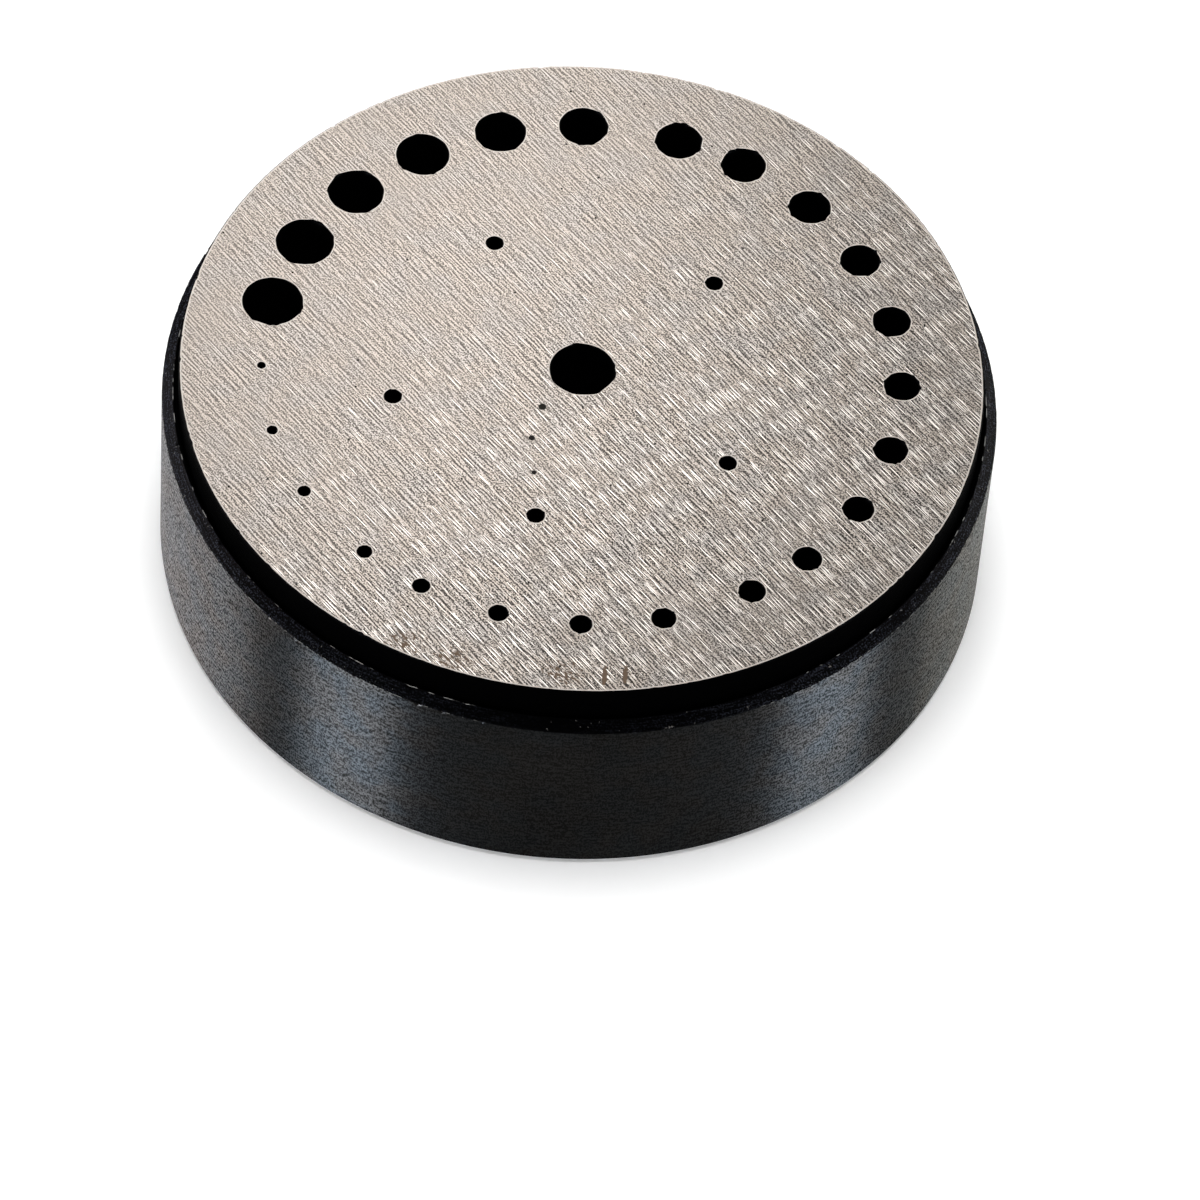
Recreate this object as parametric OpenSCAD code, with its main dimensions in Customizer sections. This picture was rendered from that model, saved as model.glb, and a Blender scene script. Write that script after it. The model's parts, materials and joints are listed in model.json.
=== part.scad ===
// Riveting stake block: a hardened disc with graduated holes, pressed into a
// blackened steel base. Lengths in millimetres, angles in degrees.
// The origin is the centre of the foot, on the bench, with +Z up.

/* [Base] */
// Outside diameter of the base
base_d = 58; // [54:0.5:70]
// Height of the lip above the bench
base_h = 15.4; // [13:0.1:17]
// Height of the ledge that carries the disc
ledge_h = 10; // [6:0.5:12]
// Width of the ledge, from the seat's wall to the open bore
ledge_w = 1.9; // [1.6:0.1:3.4]
// Thickness of the lip round the disc
lip_wall = 0.8; // [0.6:0.05:1.5]
// Width of the flat left on top of the lip
lip_flat = 0.06; // [0.04:0.01:0.3]
// Height of the chamfer round the lip
lip_chamfer_h = 0.6; // [0.3:0.05:1.5]
// Chamfer round the outside of the foot
foot_chamfer = 0.4; // [0.2:0.05:1]
// Chamfer at both ends of the bore
bore_chamfer = 0.3; // [0.2:0.05:0.8]
// Width and depth of the corner groove that lets the disc seat square
corner_groove = 0.4; // [0.2:0.05:0.6]

/* [Stake disc] */
// Thickness of the disc
disc_t = 8; // [6:0.5:10]
// Radial gap drawn between disc and seat, in place of a light press fit
seat_fit = 0.01; // [0.01:0.01:0.05]
// How far the standing part is turned down from the seated part
stand_step = 0.34; // [0.1:0.01:0.6]
// How far below the lip that step lies
step_drop = 1; // [0.3:0.1:3]
// Edge break round the ground face
face_break = 0.08; // [0.04:0.01:0.3]
// Lead chamfer round the bottom of the disc
lead_chamfer = 0.5; // [0.3:0.05:1]

/* [Holes] */
// Number of graduated holes in the ring
ring_count = 24; // [12:1:24]
// Radial gap between the widest back relief and the bore of the base
ring_edge = 1.7; // [0.2:0.1:2.5]
// Smallest hole of the ring
hole_small_d = 0.5; // [0.3:0.05:1]
// Largest hole of the ring
hole_large_d = 4.1; // [3:0.05:4.3]
// Angle of the smallest hole, from which the sizes grow anticlockwise
ring_start = 185; // [0:0.5:359.5]
// How far the dividing lags on the side away from the smallest hole, halved
ring_lag = 1.5; // [0:0.5:3]
// How far round the three ring holes that are out of step have strayed
stray_angle = 2.3; // [0:0.1:2.5]
// How far the circle of inner holes lies inside the ring
inner_inset = 9.3; // [7:0.1:12]
// How far the centre of that circle lies off the axis
inner_shift = 0.6; // [0:0.1:1.5]
// Angle at which it lies off the axis
inner_shift_angle = 225; // [0:5:355]
// Diameter of the inner holes
inner_hole_d = 1.15; // [0.6:0.05:2]
// Angle of the first inner hole
inner_start = 45; // [0:1:359]
// Angle between the inner holes at the back
inner_step_back = 75; // [60:1:80]
// Angle between the inner holes at the front
inner_step_front = 66.5; // [50:0.5:75]
// Diameter of the centre hole
centre_hole_d = 4.4; // [3:0.05:6]
// Depth of the true bore below the face, in every hole
hole_land = 4; // [2:0.5:5]
// How much wider the back relief of a hole is than the hole
relief_extra = 0.8; // [0.4:0.1:1]
// Included angle of the drill point where the relief ends
drill_point = 118; // [90:1:140]
// Edge break round each hole at the face
hole_break = 0.05; // [0.02:0.01:0.1]

/* [Hidden] */
$fn = 96;

OVER = 1; // how far a cut runs past the face that it opens
BACK_STEPS = 2; // steps between the inner holes at the back
FRONT_STEPS = 2; // steps between the inner holes at the front
LATE_HOLES = [4, 9]; // ring holes that strayed anticlockwise
EARLY_HOLES = [18]; // ring holes that strayed clockwise

base_r = base_d / 2;
seat_r = base_r - lip_wall;
bore_r = seat_r - ledge_w;
lip_flat_r = seat_r + lip_flat;
disc_r = seat_r - seat_fit;
stand_r = seat_r - stand_step;
step_h = base_h - step_drop;
top_h = ledge_h + disc_t;
land_h = top_h - hole_land;
relief_wall = relief_extra / 2;
ring_r = bore_r - ring_edge - relief_wall - hole_large_d / 2;
ring_step = 360 / ring_count;
inner_r = ring_r - inner_inset;

// Diameter of ring hole k, graded evenly from the smallest to the largest.
function ring_hole_d(k) =
    hole_small_d + (hole_large_d - hole_small_d) * k / (ring_count - 1);

// 1 if a list holds the number, and otherwise 0.
function has(list, number) = len([for (n = list) if (n == number) n]);

// How far ring hole k has strayed.
function stray(k) =
    stray_angle * (has(LATE_HOLES, k + 1) - has(EARLY_HOLES, k + 1));

// Angle of ring hole k. The lag grows and shrinks once round the ring.
function ring_angle(k) =
    ring_start + ring_step * k - ring_lag * (1 - cos(ring_step * k))
        + stray(k);

// Angle of inner hole k: the back holes come first, then the front ones.
function inner_angle(k) =
    inner_start + inner_step_back * min(k, BACK_STEPS)
        + inner_step_front * max(k - BACK_STEPS, 0);

// A half section turned about the vertical axis.
module turned(profile) {
    rotate_extrude() polygon(profile);
}

// One hole through the disc: a wider relief drilled from the back that ends in
// its drill point, the true bore, and an edge break at the face.
module stake_hole(d) {
    r = d / 2;
    relief_r = r + relief_wall;
    point_h = relief_wall / tan(drill_point / 2);
    turned([
        [0, ledge_h - OVER],
        [relief_r, ledge_h - OVER],
        [relief_r, land_h - point_h],
        [r, land_h],
        [r, top_h - hole_break],
        [r + hole_break, top_h],
        [r + hole_break, top_h + OVER],
        [0, top_h + OVER]
    ]);
}

// Puts its child at an angle and a distance from the axis.
module at(angle, distance) {
    rotate(angle) translate([distance, 0, 0]) children();
}

// The base: a turned ring with a thin chamfered lip round the disc, a ledge
// under it, and an open bore that the ends of long arbors hang into.
module base_ring() {
    color("#2b2d30")
        turned([
            [bore_r + bore_chamfer, 0],
            [base_r - foot_chamfer, 0],
            [base_r, foot_chamfer],
            [base_r, base_h - lip_chamfer_h],
            [lip_flat_r, base_h],
            [seat_r, base_h],
            [seat_r, ledge_h],
            [seat_r - corner_groove, ledge_h - corner_groove],
            [seat_r - 2 * corner_groove, ledge_h],
            [bore_r + bore_chamfer, ledge_h],
            [bore_r, ledge_h - bore_chamfer],
            [bore_r, bore_chamfer]
        ]);
}

// The stake disc: its lower part fills the seat, and its upper part stands
// proud of the lip, turned down a little and ground flat on top.
module stake_disc() {
    color("#b4ada7")
        difference() {
            turned([
                [0, ledge_h],
                [disc_r - lead_chamfer, ledge_h],
                [disc_r, ledge_h + lead_chamfer],
                [disc_r, step_h],
                [stand_r, step_h],
                [stand_r, top_h - face_break],
                [stand_r - face_break, top_h],
                [0, top_h]
            ]);
            stake_hole(centre_hole_d);
            for (k = [0 : ring_count - 1])
                at(ring_angle(k), ring_r) stake_hole(ring_hole_d(k));
            translate(inner_shift * [cos(inner_shift_angle), sin(inner_shift_angle)])
                for (k = [0 : BACK_STEPS + FRONT_STEPS])
                    at(inner_angle(k), inner_r) stake_hole(inner_hole_d);
        }
}

base_ring();
stake_disc();
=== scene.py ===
"""Finished look of a riveting stake block: a ground steel disc set in a blackened steel base.

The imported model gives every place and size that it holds: the boxes of the two parts and the holes,
which are the record's bore mounts. All lengths are in metres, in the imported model's own frame.
"""

import json
import math

import bmesh
import bpy
import numpy as np
from mathutils import Matrix, Vector


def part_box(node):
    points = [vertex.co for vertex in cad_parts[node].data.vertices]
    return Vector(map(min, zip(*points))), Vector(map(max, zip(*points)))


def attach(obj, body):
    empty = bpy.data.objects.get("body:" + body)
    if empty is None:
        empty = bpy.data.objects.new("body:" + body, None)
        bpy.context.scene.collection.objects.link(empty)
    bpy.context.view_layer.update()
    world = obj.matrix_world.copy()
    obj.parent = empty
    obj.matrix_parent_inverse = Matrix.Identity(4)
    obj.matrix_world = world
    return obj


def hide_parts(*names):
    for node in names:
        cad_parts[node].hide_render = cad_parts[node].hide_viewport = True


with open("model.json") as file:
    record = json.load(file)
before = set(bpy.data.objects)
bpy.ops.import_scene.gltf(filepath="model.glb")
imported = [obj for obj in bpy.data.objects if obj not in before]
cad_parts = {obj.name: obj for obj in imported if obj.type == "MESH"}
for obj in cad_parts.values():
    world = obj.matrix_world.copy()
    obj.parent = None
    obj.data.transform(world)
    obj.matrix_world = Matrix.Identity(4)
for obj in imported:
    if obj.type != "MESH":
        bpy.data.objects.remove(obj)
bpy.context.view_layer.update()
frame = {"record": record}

bl_info = {
    "name": "Riveting stake block",
    "version": (1, 0, 0),
    "blender": (4, 5, 0),
    "location": "View3D > Sidebar > Stake",
    "description": "Builds the finished disc and base of a riveting stake block, and a stage to view them on",
    "category": "Add Mesh",
}

MM = 0.001
BASE_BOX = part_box("base_ring")
DISC_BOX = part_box("stake_disc")
BORES = [m for m in frame["record"]["mounts"] if m["kind"] == "bore"]

BASE_RADIUS = BASE_BOX[1].x
LIP_HEIGHT = BASE_BOX[1].z
SEAT_RADIUS = DISC_BOX[1].x
LEDGE_HEIGHT = DISC_BOX[0].z
FACE_HEIGHT = DISC_BOX[1].z

BODY = "root"
DISC_PIECE = "stake_disc_finished"
BASE_PIECE = "base_ring_finished"

# Steps round the rims and round each hole
RIM_STEPS, HOLE_STEPS = 1440, 96
# Edges sharper than this stay crisp
CREASE = math.radians(28)

# Material numbers. The disc has ground steel, gloss, honed rims and a blackened underside, and the base has a
# worn lip, gloss, the wall and a worn corner. The worn edges carry a painted highlight at the two sides.
STEEL, GLOSS, RIM, UNDER = 0, 1, 2, 3
LIP, WALL, CORNER = 0, 2, 3

# Random draws, from the least to the most: the strength of a wave, and the width and depth of a chip as
# shares of the values given for its kind
WAVE_STRENGTH, CHIP_SPREAD, CHIP_DEPTHS = (0.3, 1.0), (0.5, 1.5), (0.25, 1.0)
# Seeds of the draws. The number of a hole or of a chamfer's row is added to its seed.
RIM_NICK_SEED, RIM_WAVE_SEED = 11, 12
LIP_NICK_SEED, LIP_WAVE_SEED, INNER_NICK_SEED = 21, 22, 23
TOOL_SEED, CHIP_SEED, RAGGED_SEED = 40, 100, 200

# Wear on the disc's rim, with a nick's width in radians. The rim's skin holds a collar of face, and the honed
# ring is the outer part of that collar.
RIM_NICKS, RIM_NICK_WIDTH, RIM_NICK_DEPTH = 46, 0.006, 0.09 * MM
RIM_WAVES, RIM_RIPPLE = (60, 220), 0.03 * MM
FACE_COLLAR, RIM_WIDTH = 0.5 * MM, 0.10 * MM

# Wear on the rims of the holes, with a chip's width in radians. No chip is deeper than a share of the hole's
# radius, and the rim is ragged by a share of that depth.
CHIPS_PER_HOLE, CHIP_WIDTH, CHIP_FADE = 6, 0.12, 0.12 * MM
CHIP_SHARE, RAGGED_SHARE, RAGGED_WAVES = 0.10, 0.35, (3, 14)

# Wear on the lip, of which a share goes inwards, and the gap that the seat leaves round the disc
LIP_NICKS, LIP_NICK_WIDTH, LIP_NICK_DEPTH = 60, 0.005, 0.14 * MM
LIP_WAVES, LIP_RAGGED, LIP_INWARD = (90, 300), 0.05 * MM, 0.4
INNER_NICK_DEPTH, LIP_FADE, CORNER_WIDTH = 0.08 * MM, 0.2 * MM, 0.03 * MM
SEAT_GAP = 0.01 * MM

# Grooves that the turning tool left in the chamfer: every second row is sunk, by a depth that wavers
CHAMFER_ROWS, TOOL_WAVES, TOOL_DEPTH, TOOL_WAVER = 8, (2, 40), 0.018 * MM, 0.6

# In every material, a range is a pair of values of a pattern: at the first it doesn't show, and at the second
# it shows in full. A tone is a share of the steel's own colour.

# Plain colours, and the middle value of every noise
BLACK, WHITE = (0.0, 0.0, 0.0), (1.0, 1.0, 1.0)
NOISE_MEAN = 0.5

# Where each pattern of the ground face lies in the noise, so that no two are alike
LAYER = {"grain": 1.0, "wander": 3.0, "speck": 5.0, "fine": 9.0, "patch": 19.0, "hue": 23.0, "blotch": 29.0}

# Fine lines and specks of the ground face. The lines wander a little, and a bump gives them the grind depth.
GRAIN_LENGTH, FINE_LENGTH, GRAIN_WIDTH = 4.0 * MM, 0.9 * MM, 0.12 * MM
WANDER_SIZE, WANDER, GRIND_DEPTH = 7.0 * MM, 0.10 * MM, 0.005 * MM
SPECK_SIZE, SPECK_SHARE, LINE_RANGE = 0.11 * MM, 1.8, (0.48, 1.38)
PALE_TONE, DARK_TONE = 1.6, 0.08

# The ground face's second tint, its more even patches, and the honed ring along its edges
HUE_SIZE, HUE_RANGE, COOL_STEEL = 2.5 * MM, (0.40, 0.65), (0.207, 0.189, 0.174)
PATCH_SIZE, PATCH_RANGE, PATCH_SHARE, PATCH_TONE = 6.0 * MM, (0.35, 0.75), 0.25, 0.8
HONED_RANGE, HONED_STEEL = (0.35, 0.65), (0.24, 0.225, 0.21)

# Scratches that the grinding wheel left across the face, each drawn with a painted glint and painted shade
# beside it. A cell is as long as a scratch and as wide as the pitch, and most is the share of cells that hold
# one where they crowd most. Layers are shifted apart.
LONG_SCRATCHES = {"length": 2.0 * MM, "pitch": 0.22 * MM, "most": 0.42, "layer": 1}
SHORT_SCRATCHES = {"length": 0.7 * MM, "pitch": 0.20 * MM, "most": 0.34, "layer": 2}
LAYER_SHIFT_ALONG, LAYER_SHIFT_ACROSS = 7.3, 3.1
# In shares of a cell: the reach of a scratch from its middle, half its width there, its soft edge, and the
# offset of the painted shade beside it
STROKE_REACH, STROKE_BODY, STROKE_SOFT, STROKE_SHADE = 0.5, 0.15, 0.10, 0.36

# Scratches crowd in patches and towards the front right, and their painted glints are stronger there. Away
# from the front right the steel is more even. The glints are painted in a pale steel colour, with painted
# shade beside them.
CROWD_RANGE, CROWD_LEAST, CROWD_DRIFT = (0.36, 0.75), 0.2, 3
GLINT_SHARE_RANGE, GLINT_SHARE_LEAST = (-1.1, 0.8), 0.4
LONG_SHADE, LONG_TONE = 0.9, 0.05
SHORT_SHADE, SHORT_TONE, SHORT_GLINT_SHARE = 0.7, 0.1, 0.6
EVEN_SHARE, EVEN_TONE = 0.5, 0.95
SCRATCH_GLINT = (0.85, 0.80, 0.74)

# Painted shade: the face is darkened towards the right, which is turned a little to the front, and towards
# the rim
SHADE_RIGHT_WEIGHT, SHADE_FRONT_WEIGHT, PAINTED_SHADE_RANGE = 1.4, 0.4, (-0.6, 1.3)
RIGHT_PAINTED_SHADE, RIM_PAINTED_SHADE = 0.32, 0.16

# Small pits all over the face, in a share of the cells that lie a spacing apart
PIT_SPACING, PIT_SHARE, PIT_RADIUS, PIT_RANGE = 2.6 * MM, 0.10, 0.10 * MM, (0.0, 0.6)
PIT_TONE = 0.02

# Marks that follow one another round the axis: large pits in front of the centre hole, each smaller than the
# last, and stains and dark streaks inside the front rim. A cover of 0.5 hides about half of a mark's middle,
# and 0.8 all of it.
LARGE_PITS = {"count": 3, "angle": -125, "turn": 9.5, "distance": 4.4 * MM, "step": 2.7 * MM, "growth": 1}
LARGE_PIT_RADIUS, LARGE_PIT_SHRINK, LARGE_PIT_RANGE = 0.30 * MM, 0.8, (0.0, 0.3)
STAINS = {"count": 3, "angle": -113, "turn": 8, "distance": 27.0 * MM, "step": -0.2 * MM, "growth": 2}
STAIN_SIZE = {"width": 2.8 * MM, "length": 2.1 * MM, "cover": 0.53}
STREAKS = {"count": 2, "angle": -83, "turn": 3, "distance": 26.5 * MM, "step": 0.0, "growth": 1}
STREAK_SIZE = {"width": 0.30 * MM, "length": 1.3 * MM, "cover": 0.8}
BLOTCH_LENGTH, BLOTCH_WIDTH, BLOTCH_RANGE = 0.45 * MM, 0.2 * MM, (1.0, 1.12)

# Lines, specks, tints and clouds of the blackened wall. Its sheen comes from the lines and specks.
LINE_LENGTH, LINE_WIDTH, LINE_DEPTH = 0.6 * MM, 0.18 * MM, 0.0008 * MM
DUST_SIZE, DUST_HEIGHT = 0.11 * MM, 0.165 * MM
SHEEN_LINES, SHEEN_DUST, SHEEN_RANGE, SHEEN_LEAST = 0.45, 1.2, (0.34, 0.87), 0.05
TINT_SIZE, TINT_RANGE = 2.5 * MM, (0.38, 0.62)
CLOUD_SIZE, CLOUD_RANGE, CLOUD_SHARE = 9.0 * MM, (0.4, 0.75), 0.5

# Grooves in the glossy black, and on the upper band of the lip's outside a grit with painted glints and
# flecks of steel
GROOVE_LENGTH, GROOVE_WIDTH, GROOVE_DEPTH, GROOVE_MATT = 1.5 * MM, 0.06 * MM, 0.03 * MM, 0.15
LIP_BAND = 1.0 * MM
GRIT_SIZE, LIP_GLINT_RANGE, LIP_GLINT_COLOUR = 0.12 * MM, (0.95, 1.4), (0.028, 0.030, 0.041)
FLECK_SIZE, FLECK_RANGE, FLECK_SHARE, FLECK_COLOUR = 0.35 * MM, (0.68, 0.76), 0.5, (0.25, 0.24, 0.23)

# Bare steel on the lip's worn edges: long stretches, broken into pieces, and more of them at the two sides as
# a painted highlight
STRETCH_LENGTH, SIDE_GLINT, WEAR_SOFT, WEAR_EARLY = 6.0 * MM, 0.32, 0.08, 0.02
LIP_WEAR = {"start": 0.56, "piece": 0.9 * MM, "bare": (0.28, 0.28, 0.27)}
CORNER_WEAR = {"start": 0.54, "piece": 0.4 * MM, "bare": (0.13, 0.13, 0.125)}

# The stage. The world lights the object at its level. The camera and reflections see it at the level shown,
# and they alone see the floor's glow.
FLOOR_REACH, FLOOR_DROP = 3.0, 0.02 * MM
FLOOR_COLOUR, FLOOR_GLOW = (0.93, 0.93, 0.93), (0.22, 0.22, 0.22)
WORLD_LEVEL, WORLD_SHOWN = 0.34, 1.0

# Lamps that show only as reflections: a strip on each side for the wall's two bands, and a fill for each limb
COOL, WARM, PINK = (0.90, 0.98, 1.09), (1.03, 1.01, 0.93), (1.03, 0.98, 1.0)
WALL_LAMPS = {
    "left_strip": {"azimuth": -47, "elevation": 14, "width": 0.28, "tall": 0.36, "power": 61, "tint": COOL},
    "right_strip": {"azimuth": 64, "elevation": 14, "width": 0.26, "tall": 0.36, "power": 51, "tint": COOL},
    "left_fill": {"azimuth": -101, "elevation": 12, "width": 0.78, "tall": 0.30, "power": 104, "tint": PINK},
    "right_fill": {"azimuth": 118, "elevation": 12, "width": 0.80, "tall": 0.30, "power": 64, "tint": WARM},
}
WALL_LAMP_DISTANCE = 0.8
# A small lamp behind for the far side of the face, and a wide one overhead that has no reflection
BACK_LAMP = {"azimuth": -170, "elevation": 42, "distance": 0.26, "width": 0.14, "tall": 0.13, "power": 0.20}
TOP_LAMP = {"azimuth": 0, "elevation": 90, "distance": 1.0, "width": 0.45, "tall": 0.45, "power": 6.7}


# Sizes and colours that a user would change

class StakeSizes(bpy.types.PropertyGroup):
    """Sizes of the block's details that its boxes don't give."""

    ledge_width: bpy.props.FloatProperty(
        name="Ledge width", description="From the seat's wall to the open bore",
        default=1.9 * MM, min=0.0, unit="LENGTH", subtype="DISTANCE")
    lip_flat: bpy.props.FloatProperty(
        name="Lip flat", description="Width of the flat left on top of the lip",
        default=0.06 * MM, min=0.0, unit="LENGTH", subtype="DISTANCE")
    lip_chamfer: bpy.props.FloatProperty(
        name="Lip chamfer", description="Height of the chamfer round the lip",
        default=0.6 * MM, min=0.0, unit="LENGTH", subtype="DISTANCE")
    foot_chamfer: bpy.props.FloatProperty(
        name="Foot chamfer", description="Chamfer round the outside of the foot",
        default=0.4 * MM, min=0.0, unit="LENGTH", subtype="DISTANCE")
    bore_chamfer: bpy.props.FloatProperty(
        name="Bore chamfer", description="Chamfer at both ends of the bore",
        default=0.3 * MM, min=0.0, unit="LENGTH", subtype="DISTANCE")
    corner_groove: bpy.props.FloatProperty(
        name="Corner groove", description="Width and depth of the groove in the seat's corner",
        default=0.4 * MM, min=0.0, unit="LENGTH", subtype="DISTANCE")
    stand_step: bpy.props.FloatProperty(
        name="Stand step", description="How far the standing part is turned down",
        default=0.33 * MM, min=0.0, unit="LENGTH", subtype="DISTANCE")
    step_drop: bpy.props.FloatProperty(
        name="Step drop", description="How far below the lip that step lies",
        default=1.0 * MM, min=0.0, unit="LENGTH", subtype="DISTANCE")
    face_break: bpy.props.FloatProperty(
        name="Face edge break", description="Edge break round the ground face",
        default=0.08 * MM, min=0.0, unit="LENGTH", subtype="DISTANCE")
    lead_chamfer: bpy.props.FloatProperty(
        name="Lead chamfer", description="Chamfer round the bottom of the disc",
        default=0.5 * MM, min=0.0, unit="LENGTH", subtype="DISTANCE")
    relief_wall: bpy.props.FloatProperty(
        name="Relief", description="How much wider in radius the back relief of a hole is",
        default=0.4 * MM, min=0.0, unit="LENGTH", subtype="DISTANCE")
    drill_point: bpy.props.FloatProperty(
        name="Drill point", description="Included angle of the drill point",
        default=math.radians(118), subtype="ANGLE", unit="ROTATION")
    hole_break: bpy.props.FloatProperty(
        name="Hole edge break", description="Edge break round each hole at the face",
        default=0.05 * MM, min=0.0, unit="LENGTH", subtype="DISTANCE")
    chip_depth: bpy.props.FloatProperty(
        name="Chip depth", description="Depth of the deepest chips on the rims of the holes",
        default=0.13 * MM, min=0.0, unit="LENGTH", subtype="DISTANCE")


class StakeFinish(bpy.types.PropertyGroup):
    """Colours and directions of the finishes."""

    steel: bpy.props.FloatVectorProperty(
        name="Ground steel", description="Colour of the ground face",
        default=(0.217, 0.191, 0.168), subtype="COLOR", size=3, min=0.0, max=1.0)
    stain: bpy.props.FloatVectorProperty(
        name="Stain", description="Colour of the old rust stains on the face",
        default=(0.046, 0.032, 0.022), subtype="COLOR", size=3, min=0.0, max=1.0)
    blue_black: bpy.props.FloatVectorProperty(
        name="Blue black", description="The bluer tint of the blackened wall",
        default=(0.0099, 0.0107, 0.0112), subtype="COLOR", size=3, min=0.0, max=1.0)
    brown_black: bpy.props.FloatVectorProperty(
        name="Brown black", description="The browner tint of the blackened wall",
        default=(0.0112, 0.0107, 0.0102), subtype="COLOR", size=3, min=0.0, max=1.0)
    cloud: bpy.props.FloatVectorProperty(
        name="Dark cloud", description="Colour of the dark clouds in the blackened wall",
        default=(0.00516, 0.00528, 0.00528), subtype="COLOR", size=3, min=0.0, max=1.0)
    gloss: bpy.props.FloatVectorProperty(
        name="Glossy black", description="Colour of the lip, the disc's wall and the holes",
        default=(0.0005, 0.0005, 0.0006), subtype="COLOR", size=3, min=0.0, max=1.0)
    grind_angle: bpy.props.FloatProperty(
        name="Grinding angle", description="Direction of the grinding lines, from +X",
        default=math.radians(-47.5), subtype="ANGLE", unit="ROTATION")


class StakeStage(bpy.types.PropertyGroup):
    """Place of the camera."""

    elevation: bpy.props.FloatProperty(
        name="Elevation", description="Height of the camera above the horizon",
        default=math.radians(52.38), subtype="ANGLE", unit="ROTATION")
    roll: bpy.props.FloatProperty(
        name="Roll", description="Turn of the camera about its own axis",
        default=math.radians(4.61), subtype="ANGLE", unit="ROTATION")
    distance: bpy.props.FloatProperty(
        name="Distance", description="From the camera to the point that it looks at",
        default=560.6 * MM, min=0.0, unit="LENGTH", subtype="DISTANCE")
    lens: bpy.props.FloatProperty(
        name="Lens", description="Focal length in millimetres, on a 36 mm sensor",
        default=243.8, min=1.0)
    target: bpy.props.FloatVectorProperty(
        name="Target", description="The point that the camera looks at",
        default=(2.5 * MM, -13.0 * MM, 9.0 * MM), subtype="TRANSLATION", unit="LENGTH", size=3)


# Surfaces worked out as whole arrays

def waves(angle, span, seed):
    """Smooth noise round a circle, from -1 to 1: the sum of one cosine for each whole number of waves in
    the span, each with its own strength and phase, divided by its largest value."""
    draw = np.random.default_rng(seed)
    least, most = span
    count = np.arange(least, most + 1)
    strength = draw.uniform(*WAVE_STRENGTH, count.size)
    phase = draw.uniform(0.0, 2 * np.pi, count.size)
    total = np.cos(angle[:, None] * count + phase) @ strength
    return total / np.abs(total).max()


def ripple(angle, span, seed):
    """The same noise, raised by 1 and halved so that it runs from 0 to 1."""
    return (waves(angle, span, seed) + 1.0) * 0.5


def chips(angle, count, width, seed):
    """Chips round a circle, from 0 to 1: each is a bell curve about an angle drawn at random, with a
    width in radians and a depth drawn at random, and the deepest chip counts at each angle."""
    draw = np.random.default_rng(seed)
    middle = draw.uniform(0.0, 2 * np.pi, count)
    spread = width * draw.uniform(*CHIP_SPREAD, count)
    depth = draw.uniform(*CHIP_DEPTHS, count)
    away = np.angle(np.exp(1j * (angle[:, None] - middle)))
    return (depth * np.exp(-(away / spread) ** 2)).max(axis=1)


def round_angles(steps):
    """Even angles round a circle, the first at zero and the last one step short of a full turn."""
    return np.arange(steps) * (2 * np.pi / steps)


def turned(radius, height, angle, centre=(0.0, 0.0)):
    """A turned surface on a grid. Row i, column j lies at angle j, at radius[i, j] from the centre's
    axis and at height[i, j]. Radius and height may be one column, which then holds all round."""
    shape = np.broadcast_shapes(np.shape(radius), np.shape(height), (1, angle.size))
    radius = np.broadcast_to(radius, shape)
    height = np.broadcast_to(height, shape)
    x = centre[0] + radius * np.cos(angle)
    y = centre[1] + radius * np.sin(angle)
    return np.stack([x, y, height], axis=-1)


def grid_quads(rows, columns, first, loop_rows=False):
    """Corner numbers of a grid's quads. The columns join up into rings, and the rows do so on request."""
    row = np.arange(rows if loop_rows else rows - 1)[:, None]
    column = np.arange(columns)[None, :]
    beside = (column + 1) % columns
    start = row * columns
    next_start = (row + 1) % rows * columns
    corners = [start + column, start + beside, next_start + beside, next_start + column]
    return np.stack(np.broadcast_arrays(*corners), axis=-1).reshape(-1, 4) + first


class Skin:
    """Collects grids of points into one mesh, each row of its faces with its own material number."""

    def __init__(self):
        self.points = []
        self.quads = []
        self.finish = []
        self.size = 0

    def grid(self, points, finish, loop_rows=False, inside_out=False):
        """Adds a grid, with a material number for each row of quads, and returns the corner numbers of its
        first and last rows of points."""
        rows, columns = points.shape[:2]
        quads = grid_quads(rows, columns, self.size, loop_rows)
        if inside_out:
            quads = quads[:, ::-1]
        first = self.size + np.arange(columns)
        last = first + (rows - 1) * columns
        self.points.append(points.reshape(-1, 3))
        self.quads.append(quads)
        self.finish.append(np.repeat(finish, columns))
        self.size += rows * columns
        return first, last

    def mesh(self, name):
        """Makes the mesh, with a material number on each face."""
        mesh = bpy.data.meshes.new(name)
        mesh.from_pydata(np.concatenate(self.points).tolist(), [], np.concatenate(self.quads).tolist())
        mesh.polygons.foreach_set("material_index", np.concatenate(self.finish).astype(np.int32))
        return mesh


def cap(mesh, rings, finish, up):
    """Closes the flat region between an outer ring and the rings of the holes in it, facing up or down."""
    work = bmesh.new()
    work.from_mesh(mesh)
    work.verts.ensure_lookup_table()
    edges = []
    for ring in rings:
        for a, b in zip(ring, np.roll(ring, -1)):
            edges.append(work.edges.get((work.verts[a], work.verts[b])))
    made = bmesh.ops.triangle_fill(work, use_beauty=True, edges=edges, normal=(0.0, 0.0, 1.0 if up else -1.0))
    for face in made["geom"]:
        if isinstance(face, bmesh.types.BMFace):
            face.material_index = finish
            face.normal_update()
            if (face.normal.z > 0) != up:
                face.normal_flip()
    work.to_mesh(mesh)
    work.free()


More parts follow.
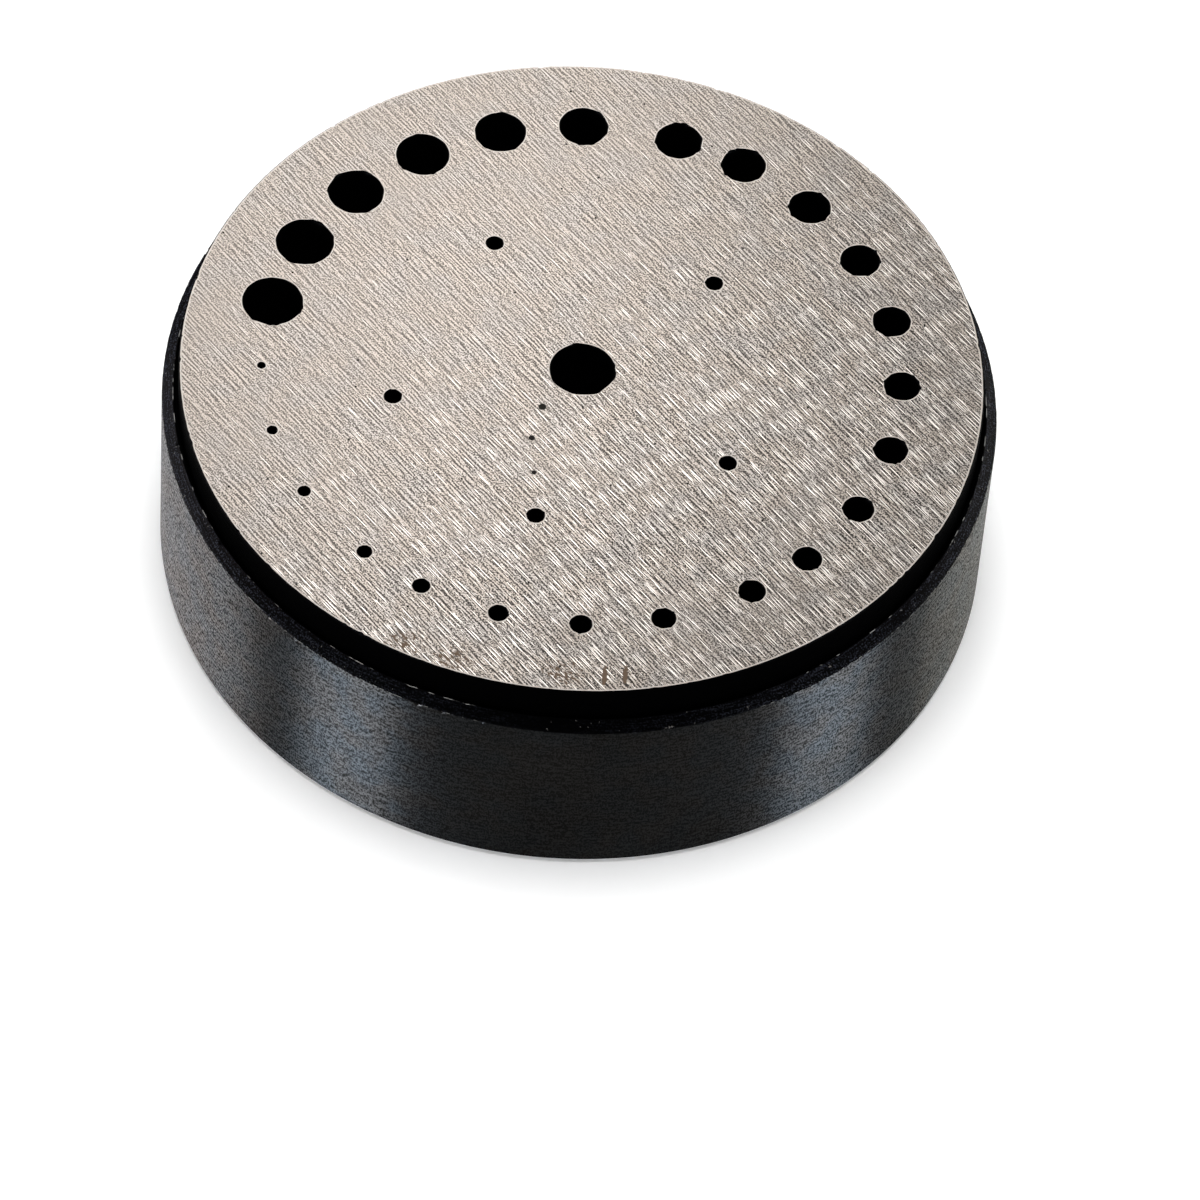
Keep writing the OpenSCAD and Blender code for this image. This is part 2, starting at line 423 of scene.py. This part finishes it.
def finish_piece(mesh, name, node, materials):
    """Puts a mesh into the scene as the piece that stands for a node."""
    old = bpy.data.objects.get(name)
    if old is not None:
        bpy.data.objects.remove(old)
    for material in materials:
        mesh.materials.append(material)
    mesh.polygons.foreach_set("use_smooth", np.ones(len(mesh.polygons), dtype=bool))
    mesh.set_sharp_from_angle(angle=CREASE)
    mesh.validate()
    piece = bpy.data.objects.new(name, mesh)
    bpy.context.scene.collection.objects.link(piece)
    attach(piece, BODY)
    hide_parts(node)
    return piece


# Shader maths

class Signal:
    """A shader value. Python's operators on it add the Math nodes that work it out."""

    def __init__(self, shader, socket):
        self.shader = shader
        self.socket = socket

    def _math(self, operation, *values):
        return self.shader.node("ShaderNodeMath", {"operation": operation}, dict(enumerate(values)))

    def __add__(self, other):
        return self._math("ADD", self, other)

    def __radd__(self, other):
        return self._math("ADD", other, self)

    def __sub__(self, other):
        return self._math("SUBTRACT", self, other)

    def __rsub__(self, other):
        return self._math("SUBTRACT", other, self)

    def __mul__(self, other):
        return self._math("MULTIPLY", self, other)

    def __rmul__(self, other):
        return self._math("MULTIPLY", other, self)

    def __truediv__(self, other):
        return self._math("DIVIDE", self, other)

    def __rtruediv__(self, other):
        return self._math("DIVIDE", other, self)

    def __abs__(self):
        return self._math("ABSOLUTE", self)

    def __lt__(self, other):
        return self._math("LESS_THAN", self, other)

    def __gt__(self, other):
        return self._math("GREATER_THAN", self, other)

    def ramp(self, low, high):
        """0 at low, 1 at high and a smooth step between them."""
        inputs = {"Value": self, "From Min": low, "From Max": high}
        return self.shader.node("ShaderNodeMapRange", {"interpolation_type": "SMOOTHSTEP"}, inputs)

    def rise(self, low, high, least):
        """The same step from the least value up to 1."""
        return self.ramp(low, high) * (1.0 - least) + least


class Shader:
    """The node tree of one material. A material that exists keeps its pieces and gets new nodes."""

    def __init__(self, name):
        self.material = bpy.data.materials.get(name) or bpy.data.materials.new(name)
        self.material.use_nodes = True
        self.tree = self.material.node_tree
        self.tree.nodes.clear()

    @classmethod
    def on(cls, tree):
        """Adds to a node tree that isn't a material's."""
        made = cls.__new__(cls)
        made.tree = tree
        return made

    def node(self, kind, settings=None, inputs=None, output=0):
        """Adds a node. Its settings are set first, then its sockets get their values or links."""
        made = self.tree.nodes.new(kind)
        for key, value in (settings or {}).items():
            setattr(made, key, value)
        for key, value in (inputs or {}).items():
            if isinstance(value, Signal):
                self.tree.links.new(value.socket, made.inputs[key])
            else:
                made.inputs[key].default_value = value
        return Signal(self, made.outputs[output])

    def place(self):
        """The point on the piece as three values."""
        point = self.node("ShaderNodeTexCoord", output="Object")
        return [self.node("ShaderNodeSeparateXYZ", inputs={0: point}, output=axis) for axis in "XYZ"]

    def noise(self, x, y, z, detail=2.0):
        """Noise from 0 to 1 at a point that is already counted in grains."""
        point = self.node("ShaderNodeCombineXYZ", inputs={0: x, 1: y, 2: z})
        inputs = {"Vector": point, "Scale": 1.0, "Detail": detail}
        return self.node("ShaderNodeTexNoise", inputs=inputs, output="Fac")

    def ridges(self, x, y, z):
        """Fine ridges stacked along z, each with a groove beside it, from about -0.5 to 0.5."""
        return self.noise(x, y, z, detail=0.0) - self.noise(x, y, z + 1.0, detail=0.0)

    def cell(self, u, v):
        """The cell of a scattered pattern that holds a point counted in cells: the point's offset from the
        cell's seed along u and v, and the cell's own random number from 0 to 1."""
        inputs = {"Vector": self.node("ShaderNodeCombineXYZ", inputs={0: u, 1: v}), "Scale": 1.0}
        settings = {"voronoi_dimensions": "2D"}
        seed = self.node("ShaderNodeTexVoronoi", settings, inputs, output="Position")
        tint = self.node("ShaderNodeTexVoronoi", settings, inputs, output="Color")
        seed_u, seed_v = [self.node("ShaderNodeSeparateXYZ", inputs={0: seed}, output=axis) for axis in "XY"]
        chance = self.node("ShaderNodeSeparateXYZ", inputs={0: tint}, output="X")
        return u - seed_u, v - seed_v, chance

    def strokes(self, along, across, crowd, length, pitch, most, layer):
        """Scratches, one in each chosen cell of a scattered pattern, as two values from 0 to 1: the painted
        glint and the painted shade beside it. A scratch is widest at its cell's seed and narrows to a point
        at both ends, as one minus the square of the way along it."""
        off_u, off_v, chance = self.cell(along / length + layer * LAYER_SHIFT_ALONG,
                                         across / pitch + layer * LAYER_SHIFT_ACROSS)
        way = off_u / STROKE_REACH
        body = (1.0 - way * way) * STROKE_BODY
        chosen = chance < crowd * most
        light = (body - abs(off_v)).ramp(0.0, STROKE_SOFT) * chosen
        shade = (body - abs(off_v + STROKE_SHADE)).ramp(0.0, STROKE_SOFT) * chosen
        return light, shade

    def mix(self, share, low, high):
        """A colour between low and high."""
        inputs = {"Factor": share, 6: colour(low), 7: colour(high)}
        return self.node("ShaderNodeMix", {"data_type": "RGBA"}, inputs, output=2)

    def bump(self, height, distance):
        """A bumped normal. Distance is the depth that a height of 1 stands for."""
        return self.node("ShaderNodeBump", inputs={"Height": height, "Distance": distance}, output="Normal")

    def surface(self, inputs):
        """Ends the material in a Principled shader with these inputs."""
        shader = self.node("ShaderNodeBsdfPrincipled", inputs=inputs, output="BSDF")
        end = self.tree.nodes.new("ShaderNodeOutputMaterial")
        self.tree.links.new(shader.socket, end.inputs["Surface"])
        return self.material


def colour(value):
    """A colour as a socket takes it: a link as it is, and three numbers with full alpha."""
    return value if isinstance(value, Signal) else (*value, 1.0)


def scaled(value, factor):
    """A colour with each of its three numbers times a factor."""
    return tuple(min(1.0, part * factor) for part in value)


# Patterns of the ground face

def spot(off_x, off_y, width, length):
    """1 in the middle of an oval, 0 on its edge and below 0 outside it."""
    off_x = off_x / width
    off_y = off_y / length
    return 1.0 - off_x * off_x - off_y * off_y


def trail(count, angle, turn, distance, step, growth):
    """Gives the places of marks that follow one another round the axis, with angles in degrees. The angle
    changes by the turn and the distance by the step, and both changes grow from one mark to the next."""
    for _ in range(count):
        yield distance * math.cos(math.radians(angle)), distance * math.sin(math.radians(angle))
        angle += turn
        distance += step
        turn *= growth
        step *= growth


def lined_steel(shader, x, y, lines, patch, steel):
    """The ground steel's colour: dark to pale by its lines, between two tints, and more even in patches."""
    hue = shader.noise(x / HUE_SIZE, y / HUE_SIZE, LAYER["hue"])
    pale = shader.mix(hue.ramp(*HUE_RANGE), scaled(steel, PALE_TONE), scaled(COOL_STEEL, PALE_TONE))
    shown = shader.mix(lines.ramp(*LINE_RANGE), scaled(steel, DARK_TONE), pale)
    return shader.mix(patch.ramp(*PATCH_RANGE) * PATCH_SHARE, shown, scaled(steel, PATCH_TONE))


def add_scratches_and_glints(shader, shown, x, y, along, across, patch, steel):
    """The colour with the short and long scratches over it, each a painted glint with painted shade beside
    it, and the long ones' shade. They crowd in patches and towards the front right, and their painted glints
    are stronger there."""
    front_right = (x - y) / SEAT_RADIUS
    crowd = (patch + front_right / CROWD_DRIFT).rise(*CROWD_RANGE, CROWD_LEAST)
    glint_share = front_right.rise(*GLINT_SHARE_RANGE, GLINT_SHARE_LEAST)
    long_glint, long_shade = shader.strokes(along, across, crowd, **LONG_SCRATCHES)
    short_glint, short_shade = shader.strokes(along, across, crowd, **SHORT_SCRATCHES)
    # Painted shade beside the scratches, then painted glints along them
    shown = shader.mix(short_shade * SHORT_SHADE, shown, scaled(steel, SHORT_TONE))
    shown = shader.mix(long_shade * LONG_SHADE, shown, scaled(steel, LONG_TONE))
    shown = shader.mix(short_glint * glint_share * SHORT_GLINT_SHARE, shown, SCRATCH_GLINT)
    shown = shader.mix(long_glint * glint_share, shown, SCRATCH_GLINT)
    return shader.mix((1.0 - glint_share) * EVEN_SHARE, shown, scaled(steel, EVEN_TONE)), long_shade


def add_painted_shade(shader, shown, x, y):
    """The colour with painted shade over it, darker to the right and towards the rim."""
    to_right = (x * SHADE_RIGHT_WEIGHT - y * SHADE_FRONT_WEIGHT) / SEAT_RADIUS
    to_rim = (x * x + y * y) / SEAT_RADIUS ** 2
    return shader.mix(to_right.ramp(*PAINTED_SHADE_RANGE) * RIGHT_PAINTED_SHADE + to_rim * RIM_PAINTED_SHADE, shown, BLACK)


def stained(shader, shown, x, y, blotch, stain):
    """The colour with the stains and streaks over it, each broken up by the blotches."""
    for places, size in ((STAINS, STAIN_SIZE), (STREAKS, STREAK_SIZE)):
        for mark_x, mark_y in trail(**places):
            reach = spot(x - mark_x, y - mark_y, size["width"], size["length"]).ramp(0.0, 1.0) * size["cover"]
            shown = shader.mix((reach + blotch).ramp(*BLOTCH_RANGE), shown, stain)
    return shown


def pits(shader, x, y, speck):
    """1 in the pits: small round ones in some of the cells, and large ragged ones in a trail."""
    off_u, off_v, chance = shader.cell(x / PIT_SPACING, y / PIT_SPACING)
    reach = PIT_RADIUS / PIT_SPACING
    pit = spot(off_u, off_v, reach, reach).ramp(*PIT_RANGE) * (chance < PIT_SHARE)
    for number, (mark_x, mark_y) in enumerate(trail(**LARGE_PITS)):
        radius = LARGE_PIT_RADIUS * LARGE_PIT_SHRINK ** number
        ragged = spot(x - mark_x, y - mark_y, radius, radius) + speck - NOISE_MEAN
        pit = pit + ragged.ramp(*LARGE_PIT_RANGE)
    return pit


# Materials

def ground_steel(finish):
    """Ground steel: fine lines at the grinding angle, under scratches with painted glints and shade, stains
    and pits, and painted shade towards the right and the rim.
    """
    shader = Shader("ground_steel")
    x, y, _ = shader.place()
    steel = tuple(finish.steel)
    turn = finish.grind_angle
    wander = shader.noise(x / WANDER_SIZE, y / WANDER_SIZE, LAYER["wander"], detail=0.0)
    along = x * math.cos(turn) + y * math.sin(turn)
    across = y * math.cos(turn) - x * math.sin(turn) + wander * WANDER

    grain = shader.ridges(along / GRAIN_LENGTH, LAYER["grain"], across / GRAIN_WIDTH)
    fine = shader.ridges(along / FINE_LENGTH, LAYER["fine"], across / GRAIN_WIDTH)
    speck = shader.noise(x / SPECK_SIZE, y / SPECK_SIZE, LAYER["speck"], detail=0.0)
    patch = shader.noise(x / PATCH_SIZE, y / PATCH_SIZE, LAYER["patch"], detail=3.0)
    blotch = shader.noise(along / BLOTCH_LENGTH, across / BLOTCH_WIDTH, LAYER["blotch"])
    pit = pits(shader, x, y, speck)

    shown = lined_steel(shader, x, y, grain + fine + speck * SPECK_SHARE, patch, steel)
    # Scratches, with painted glints and painted shade beside them
    shown, long_shade = add_scratches_and_glints(shader, shown, x, y, along, across, patch, steel)
    # Painted shade, darker to the right and towards the rim
    shown = add_painted_shade(shader, shown, x, y)
    shown = stained(shader, shown, x, y, blotch, tuple(finish.stain))
    shown = shader.mix(pit, shown, scaled(steel, PIT_TONE))
    bumped = shader.bump(grain - long_shade - pit, GRIND_DEPTH)
    return shader.surface({"Base Color": shown, "Metallic": 1.0, "Roughness": 0.45, "Normal": bumped})


def honed_rim(finish):
    """The thin bright ring of face inside its rim and round each hole, where a stone broke the edge."""
    shader = Shader("honed_rim")
    x, y, z = shader.place()
    speck = shader.noise(x / SPECK_SIZE, y / SPECK_SIZE, z / SPECK_SIZE, detail=0.0)
    shown = shader.mix(speck.ramp(*HONED_RANGE), tuple(finish.steel), HONED_STEEL)
    return shader.surface({"Base Color": shown, "Metallic": 1.0, "Roughness": 0.35})


def blackened_wall(finish):
    """Blackened steel with a satin sheen, for the base's wall and the disc's underside: fine lines and specks
    that shine, two tints and dark clouds. The shine is a share of bare metal, and the turning lines draw its
    reflections out up and down the wall."""
    shader = Shader("blackened_wall")
    x, y, z = shader.place()
    line = shader.ridges(x / LINE_LENGTH, y / LINE_LENGTH, z / LINE_WIDTH)
    dust = shader.noise(x / DUST_SIZE, y / DUST_SIZE, z / DUST_HEIGHT, detail=0.0)
    cloud = shader.noise(x / CLOUD_SIZE, y / CLOUD_SIZE, z / CLOUD_SIZE, detail=3.0)
    tint = shader.noise(x / TINT_SIZE, y / TINT_SIZE, z / TINT_SIZE)
    shown = shader.mix(tint.ramp(*TINT_RANGE), tuple(finish.blue_black), tuple(finish.brown_black))
    shown = shader.mix(cloud.ramp(*CLOUD_RANGE) * CLOUD_SHARE, shown, tuple(finish.cloud))
    sheen = (line * SHEEN_LINES + dust * SHEEN_DUST).rise(*SHEEN_RANGE, SHEEN_LEAST)
    return shader.surface({"Base Color": shown, "Metallic": sheen, "Roughness": 0.41,
                           "Normal": shader.bump(line, LINE_DEPTH), "Specular IOR Level": 0.0,
                           "Anisotropic": 1.0, "Anisotropic Rotation": 0.25})


def glossy_black_with_glint(finish):
    """Glossy black oxide with turning grooves. On the lip's outside, grit and grooves carry painted glints,
    stronger towards the two sides, and small flecks of steel show through. The gloss is turned far down,
    because the lamps that the wall needs would turn it grey."""
    shader = Shader("glossy_black_with_glint")
    x, y, z = shader.place()
    groove = shader.noise(x / GROOVE_LENGTH, y / GROOVE_LENGTH, z / GROOVE_WIDTH)
    fleck = shader.noise(x / FLECK_SIZE, y / FLECK_SIZE, z / FLECK_SIZE, detail=3.0)
    grit = shader.noise(x / GRIT_SIZE, y / GRIT_SIZE, z / GRIT_SIZE, detail=0.0)
    on_lip = (x * x + y * y > SEAT_RADIUS ** 2) * (z > LIP_HEIGHT - LIP_BAND)
    side = abs(x) / BASE_RADIUS
    # Painted glints on the lip's outside, stronger towards the two sides
    shown = shader.mix((groove + grit).ramp(*LIP_GLINT_RANGE) * side * on_lip, tuple(finish.gloss), LIP_GLINT_COLOUR)
    shown = shader.mix(fleck.ramp(*FLECK_RANGE) * on_lip * FLECK_SHARE, shown, FLECK_COLOUR)
    return shader.surface({"Base Color": shown, "Roughness": 0.3 + groove * GROOVE_MATT,
                           "Normal": shader.bump(groove, GROOVE_DEPTH), "Specular IOR Level": 0.001})


def worn_edge_with_glint(finish, name, start, piece, bare):
    """A narrow edge with bare steel where the black has rubbed off, in stretches broken into pieces, and more
    of it at the two sides, which is a painted highlight. Start is the noise above which the black is gone, so
    a higher start leaves fewer and shorter stretches."""
    shader = Shader(name)
    x, y, z = shader.place()
    stretch = shader.noise(x / STRETCH_LENGTH, y / STRETCH_LENGTH, z / STRETCH_LENGTH)
    broken = shader.noise(x / piece, y / piece, z / piece)
    side = abs(x) / BASE_RADIUS
    end = start + WEAR_SOFT
    # Worn bare steel, with more at the two sides as a painted highlight
    worn = (stretch + side * SIDE_GLINT).ramp(start, end) * broken.ramp(start - WEAR_EARLY, end)
    shown = shader.mix(worn, tuple(finish.gloss), bare)
    return shader.surface({"Base Color": shown, "Roughness": 0.4, "Specular IOR Level": 0.008})


# Pieces

def disc_skin(sizes):
    """The disc's skin: the outer turned surface from the face's rim to the bottom's rim, and a turned
    surface for each hole from its collar in the face to its mouth in the bottom. The face's rim has
    small nicks, and each hole's rim has chips that fade down its wall. Returns it with its rings."""
    skin = Skin()
    stand = SEAT_RADIUS - sizes.stand_step
    step_height = LIP_HEIGHT - sizes.step_drop
    edge = sizes.face_break
    angle = round_angles(RIM_STEPS)
    nick = chips(angle, RIM_NICKS, RIM_NICK_WIDTH, RIM_NICK_SEED) * RIM_NICK_DEPTH
    wear = nick + ripple(angle, RIM_WAVES, RIM_WAVE_SEED) * RIM_RIPPLE
    # Each row has a radius, a height, and the share of the wear that each of them loses
    rows = [
        (stand - FACE_COLLAR, FACE_HEIGHT, 0.0, 0.0),
        (stand - edge - RIM_WIDTH, FACE_HEIGHT, 1.0, 0.0),
        (stand - edge, FACE_HEIGHT, 1.0, 0.0),
        (stand, FACE_HEIGHT - edge, 0.6, 0.5),
        (stand, FACE_HEIGHT - edge * 3, 0.0, 0.0),
        (stand, FACE_HEIGHT - edge * 4, 0.0, 0.0),
        (stand, step_height, 0.0, 0.0),
        (SEAT_RADIUS, step_height, 0.0, 0.0),
        (SEAT_RADIUS, LEDGE_HEIGHT + sizes.lead_chamfer, 0.0, 0.0),
        (SEAT_RADIUS - sizes.lead_chamfer, LEDGE_HEIGHT, 0.0, 0.0),
    ]
    profile = np.array(rows)[:, :, None]
    radius = profile[:, 0] - wear * profile[:, 2]
    height = profile[:, 1] - wear * profile[:, 3]
    finish = [STEEL, RIM] + [GLOSS] * (len(rows) - 3)
    top, bottom = skin.grid(turned(radius, height, angle), finish, inside_out=True)
    tops, bottoms = [top], [bottom]
    for number, bore in enumerate(BORES):
        first, last = add_hole(skin, sizes, bore, number)
        tops.append(first)
        bottoms.append(last)
    return skin, tops, bottoms


def add_hole(skin, sizes, bore, number):
    """One hole: a turned surface about the bore's own axis, down its edge break, true wall, drill point
    and relief. At the rim the radius grows by the chips, and the growth fades out below."""
    angle = round_angles(HOLE_STEPS)
    radius = bore["dims"]["r_mm"] * MM
    wall_low = bore["pos_m"][2] - bore["dims"]["length_mm"] * MM / 2
    relief = radius + sizes.relief_wall
    point = sizes.relief_wall / math.tan(sizes.drill_point / 2)
    depth = min(sizes.chip_depth, radius * CHIP_SHARE)
    chipped = chips(angle, CHIPS_PER_HOLE, CHIP_WIDTH, CHIP_SEED + number) * depth
    chipped = chipped + ripple(angle, RAGGED_WAVES, RAGGED_SEED + number) * depth * RAGGED_SHARE
    # Each row has a radius, a height, and the share of the chips that the radius gains
    rows = [
        (radius + sizes.hole_break + RIM_WIDTH, FACE_HEIGHT, 0.0),
        (radius + sizes.hole_break, FACE_HEIGHT, 1.0),
        (radius, FACE_HEIGHT - sizes.hole_break, 0.9),
        (radius, FACE_HEIGHT - CHIP_FADE, 0.35),
        (radius, FACE_HEIGHT - CHIP_FADE * 2, 0.0),
        (radius, wall_low, 0.0),
        (relief, wall_low - point, 0.0),
        (relief, LEDGE_HEIGHT, 0.0),
    ]
    profile = np.array(rows)[:, :, None]
    finish = [RIM] + [GLOSS] * (len(rows) - 2)
    surface = turned(profile[:, 0] + chipped * profile[:, 2], profile[:, 1], angle, bore["pos_m"][:2])
    return skin.grid(surface, finish)


def base_skin(sizes):
    """The base's skin: one closed turned profile. The lip's two edges are nicked and chipped, and the
    chamfer between them carries the ripple that the turning tool left."""
    skin = Skin()
    angle = round_angles(RIM_STEPS)
    bore_radius = SEAT_RADIUS - sizes.ledge_width + SEAT_GAP
    seat = SEAT_RADIUS + SEAT_GAP
    nick = chips(angle, LIP_NICKS, LIP_NICK_WIDTH, LIP_NICK_SEED) * LIP_NICK_DEPTH
    outer = nick + ripple(angle, LIP_WAVES, LIP_WAVE_SEED) * LIP_RAGGED
    inner = chips(angle, LIP_NICKS, LIP_NICK_WIDTH, INNER_NICK_SEED) * INNER_NICK_DEPTH
    inward = outer * LIP_INWARD
    groove = sizes.corner_groove
    lower, upper = LIP_HEIGHT - sizes.lip_chamfer, LIP_HEIGHT
    none = np.zeros_like(angle)
    # Each row has a radius, a height, what wear takes from each of them, and the material up to the next row
    rows = [
        (BASE_RADIUS - sizes.foot_chamfer, 0.0, none, none, WALL),
        (BASE_RADIUS, sizes.foot_chamfer, none, none, WALL),
        (BASE_RADIUS, lower - 2 * LIP_FADE, none, none, WALL),
        (BASE_RADIUS, lower - LIP_FADE, none, none, WALL),
        (BASE_RADIUS, lower, inward, outer, CORNER),
        (BASE_RADIUS - CORNER_WIDTH, lower + CORNER_WIDTH, inward, outer, GLOSS),
        *chamfer_rows(sizes, seat, lower, upper, angle),
        (seat + sizes.lip_flat, upper, none, inner, LIP),
        (seat, upper, none, inner, GLOSS),
        (seat, upper - LIP_FADE, none, none, GLOSS),
        (seat, LEDGE_HEIGHT, none, none, GLOSS),
        (seat - groove, LEDGE_HEIGHT - groove, none, none, GLOSS),
        (seat - 2 * groove, LEDGE_HEIGHT, none, none, GLOSS),
        (bore_radius + sizes.bore_chamfer, LEDGE_HEIGHT, none, none, GLOSS),
        (bore_radius, LEDGE_HEIGHT - sizes.bore_chamfer, none, none, WALL),
        (bore_radius, sizes.bore_chamfer, none, none, WALL),
        (bore_radius + sizes.bore_chamfer, 0.0, none, none, WALL),
    ]
    radius = np.stack([row[0] - row[2] for row in rows])
    height = np.stack([row[1] - row[3] for row in rows])
    finish = [row[4] for row in rows]
    skin.grid(turned(radius, height, angle), finish, loop_rows=True)
    return skin


def chamfer_rows(sizes, seat, lower, upper, angle):
    """Rows across the chamfer. Each lies a share of the way up it, and every second one is sunk by a groove
    that wavers."""
    none = np.zeros_like(angle)
    made = []
    for number in range(1, CHAMFER_ROWS):
        share = number / CHAMFER_ROWS
        radius = BASE_RADIUS + (seat + sizes.lip_flat - BASE_RADIUS) * share
        waver = 1.0 + TOOL_WAVER * waves(angle, TOOL_WAVES, TOOL_SEED + number)
        depth = TOOL_DEPTH * (number % 2) * waver
        made.append((radius, lower + (upper - lower) * share, depth, none, GLOSS))
    return made


# Stage

def shown_ray(shader):
    """1 for the rays that show a surface to the camera, straight or through gloss or glass, and else 0."""
    camera, gloss, glass = [shader.node("ShaderNodeLightPath", output=kind)
                            for kind in ("Is Camera Ray", "Is Glossy Ray", "Is Transmission Ray")]
    return camera + gloss + glass > 0.5


def make_floor():
    """A wide pale floor just under the foot, which the camera and reflections see as white, less the
    object's shadow."""
    mesh = bpy.data.meshes.new("floor")
    reach = FLOOR_REACH
    corners = [(-reach, -reach), (reach, -reach), (reach, reach), (-reach, reach)]
    mesh.from_pydata([(x, y, -FLOOR_DROP) for x, y in corners], [], [(0, 1, 2, 3)])
    shader = Shader("floor")
    glow = shader.mix(shown_ray(shader), BLACK, FLOOR_GLOW)
    mesh.materials.append(shader.surface({"Base Color": colour(FLOOR_COLOUR), "Roughness": 0.9,
                                          "Specular IOR Level": 0.0, "Emission Color": glow,
                                          "Emission Strength": 1.0}))
    floor = bpy.data.objects.new("floor", mesh)
    bpy.context.scene.collection.objects.link(floor)


def make_world():
    """A plain pale world, which the camera and reflections see as white."""
    world = bpy.data.worlds.new("studio")
    world.use_nodes = True
    tree = world.node_tree
    tree.nodes.clear()
    shader = Shader.on(tree)
    level = shown_ray(shader) * (WORLD_SHOWN - WORLD_LEVEL) + WORLD_LEVEL
    light = shader.node("ShaderNodeBackground", inputs={"Color": colour(WHITE), "Strength": level})
    out = tree.nodes.new("ShaderNodeOutputWorld")
    tree.links.new(light.socket, out.inputs["Surface"])
    bpy.context.scene.world = world


def make_lamp(name, azimuth, elevation, distance, width, tall, power, tint=WHITE, gloss=True, diffuse=True):
    """A soft lamp that looks at the object and is itself out of sight. Angles are in degrees, and azimuth is
    from the camera's side, to its right. A lamp can leave out its reflections in gloss, or all but those."""
    light = bpy.data.lights.new(name, "AREA")
    light.color = tint
    light.shape = "RECTANGLE"
    light.size = width
    light.size_y = tall
    light.energy = power
    lamp = bpy.data.objects.new(name, light)
    lamp.visible_camera = False
    lamp.visible_glossy = gloss
    lamp.visible_diffuse = diffuse
    turn, rise = math.radians(azimuth), math.radians(elevation)
    out = Vector((math.sin(turn) * math.cos(rise), -math.cos(turn) * math.cos(rise), math.sin(rise)))
    lamp.location = out * distance
    lamp.rotation_euler = out.to_track_quat("Z", "Y").to_euler()
    bpy.context.scene.collection.objects.link(lamp)


def make_camera(stage):
    """The camera, from its elevation, roll and distance, looking at the target."""
    data = bpy.data.cameras.new("camera")
    data.lens = stage.lens
    data.sensor_width = 36.0
    data.clip_start = 0.01
    camera = bpy.data.objects.new("camera", data)
    back = Vector((0.0, -math.cos(stage.elevation), math.sin(stage.elevation)))
    up = Vector((0.0, math.sin(stage.elevation), math.cos(stage.elevation)))
    right = Vector((1.0, 0.0, 0.0))
    across = right * math.cos(stage.roll) + up * math.sin(stage.roll)
    upward = up * math.cos(stage.roll) - right * math.sin(stage.roll)
    turn = Matrix((across, upward, back)).transposed().to_4x4()
    camera.matrix_world = Matrix.Translation(Vector(stage.target) + back * stage.distance) @ turn
    bpy.context.scene.collection.objects.link(camera)
    bpy.context.scene.camera = camera


# Operators and panel

class STAKE_OT_disc(bpy.types.Operator):
    """Builds the ground steel disc with its graduated holes."""

    bl_idname = "stake.make_disc"
    bl_label = "Stake disc"

    def execute(self, context):
        scene = context.scene
        skin, tops, bottoms = disc_skin(scene.stake_sizes)
        mesh = skin.mesh(DISC_PIECE)
        cap(mesh, tops, STEEL, up=True)
        cap(mesh, bottoms, UNDER, up=False)
        finish = scene.stake_finish
        materials = [ground_steel(finish), glossy_black_with_glint(finish), honed_rim(finish), blackened_wall(finish)]
        finish_piece(mesh, DISC_PIECE, "stake_disc", materials)
        return {"FINISHED"}


class STAKE_OT_base(bpy.types.Operator):
    """Builds the blackened base with its worn lip."""

    bl_idname = "stake.make_base"
    bl_label = "Base ring"

    def execute(self, context):
        scene = context.scene
        mesh = base_skin(scene.stake_sizes).mesh(BASE_PIECE)
        finish = scene.stake_finish
        materials = [worn_edge_with_glint(finish, "worn_lip_and_glint", **LIP_WEAR), glossy_black_with_glint(finish),
                     blackened_wall(finish), worn_edge_with_glint(finish, "worn_corner_and_glint", **CORNER_WEAR)]
        finish_piece(mesh, BASE_PIECE, "base_ring", materials)
        return {"FINISHED"}


class STAKE_OT_stage(bpy.types.Operator):
    """Builds the floor, the world, the lamps and the camera."""

    bl_idname = "stake.make_stage"
    bl_label = "Stage"

    def execute(self, context):
        make_floor()
        make_world()
        for name, lamp in WALL_LAMPS.items():
            make_lamp(name, distance=WALL_LAMP_DISTANCE, diffuse=False, **lamp)
        make_lamp("back_softbox", **BACK_LAMP)
        make_lamp("overhead", gloss=False, **TOP_LAMP)
        make_camera(context.scene.stake_stage)
        context.scene.view_settings.view_transform = "Standard"
        return {"FINISHED"}


class STAKE_PT_panel(bpy.types.Panel):
    """Lists the block's sizes, finishes and steps."""

    bl_label = "Riveting stake block"
    bl_idname = "STAKE_PT_panel"
    bl_space_type = "VIEW_3D"
    bl_region_type = "UI"
    bl_category = "Stake"

    def draw(self, context):
        scene = context.scene
        for group in (scene.stake_sizes, scene.stake_finish, scene.stake_stage):
            box = self.layout.box()
            for key in group.__annotations__:
                box.prop(group, key)
        for operator in (STAKE_OT_disc, STAKE_OT_base, STAKE_OT_stage):
            self.layout.operator(operator.bl_idname)


GROUPS = {"stake_sizes": StakeSizes, "stake_finish": StakeFinish, "stake_stage": StakeStage}
CLASSES = (*GROUPS.values(), STAKE_OT_disc, STAKE_OT_base, STAKE_OT_stage, STAKE_PT_panel)


def register():
    for made in CLASSES:
        bpy.utils.register_class(made)
    for name, group in GROUPS.items():
        setattr(bpy.types.Scene, name, bpy.props.PointerProperty(type=group))


def unregister():
    for name in GROUPS:
        delattr(bpy.types.Scene, name)
    for made in reversed(CLASSES):
        bpy.utils.unregister_class(made)


def main():
    """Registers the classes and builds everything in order."""
    register()
    bpy.ops.stake.make_disc()
    bpy.ops.stake.make_base()
    bpy.ops.stake.make_stage()


if __name__ == "__main__":
    main()
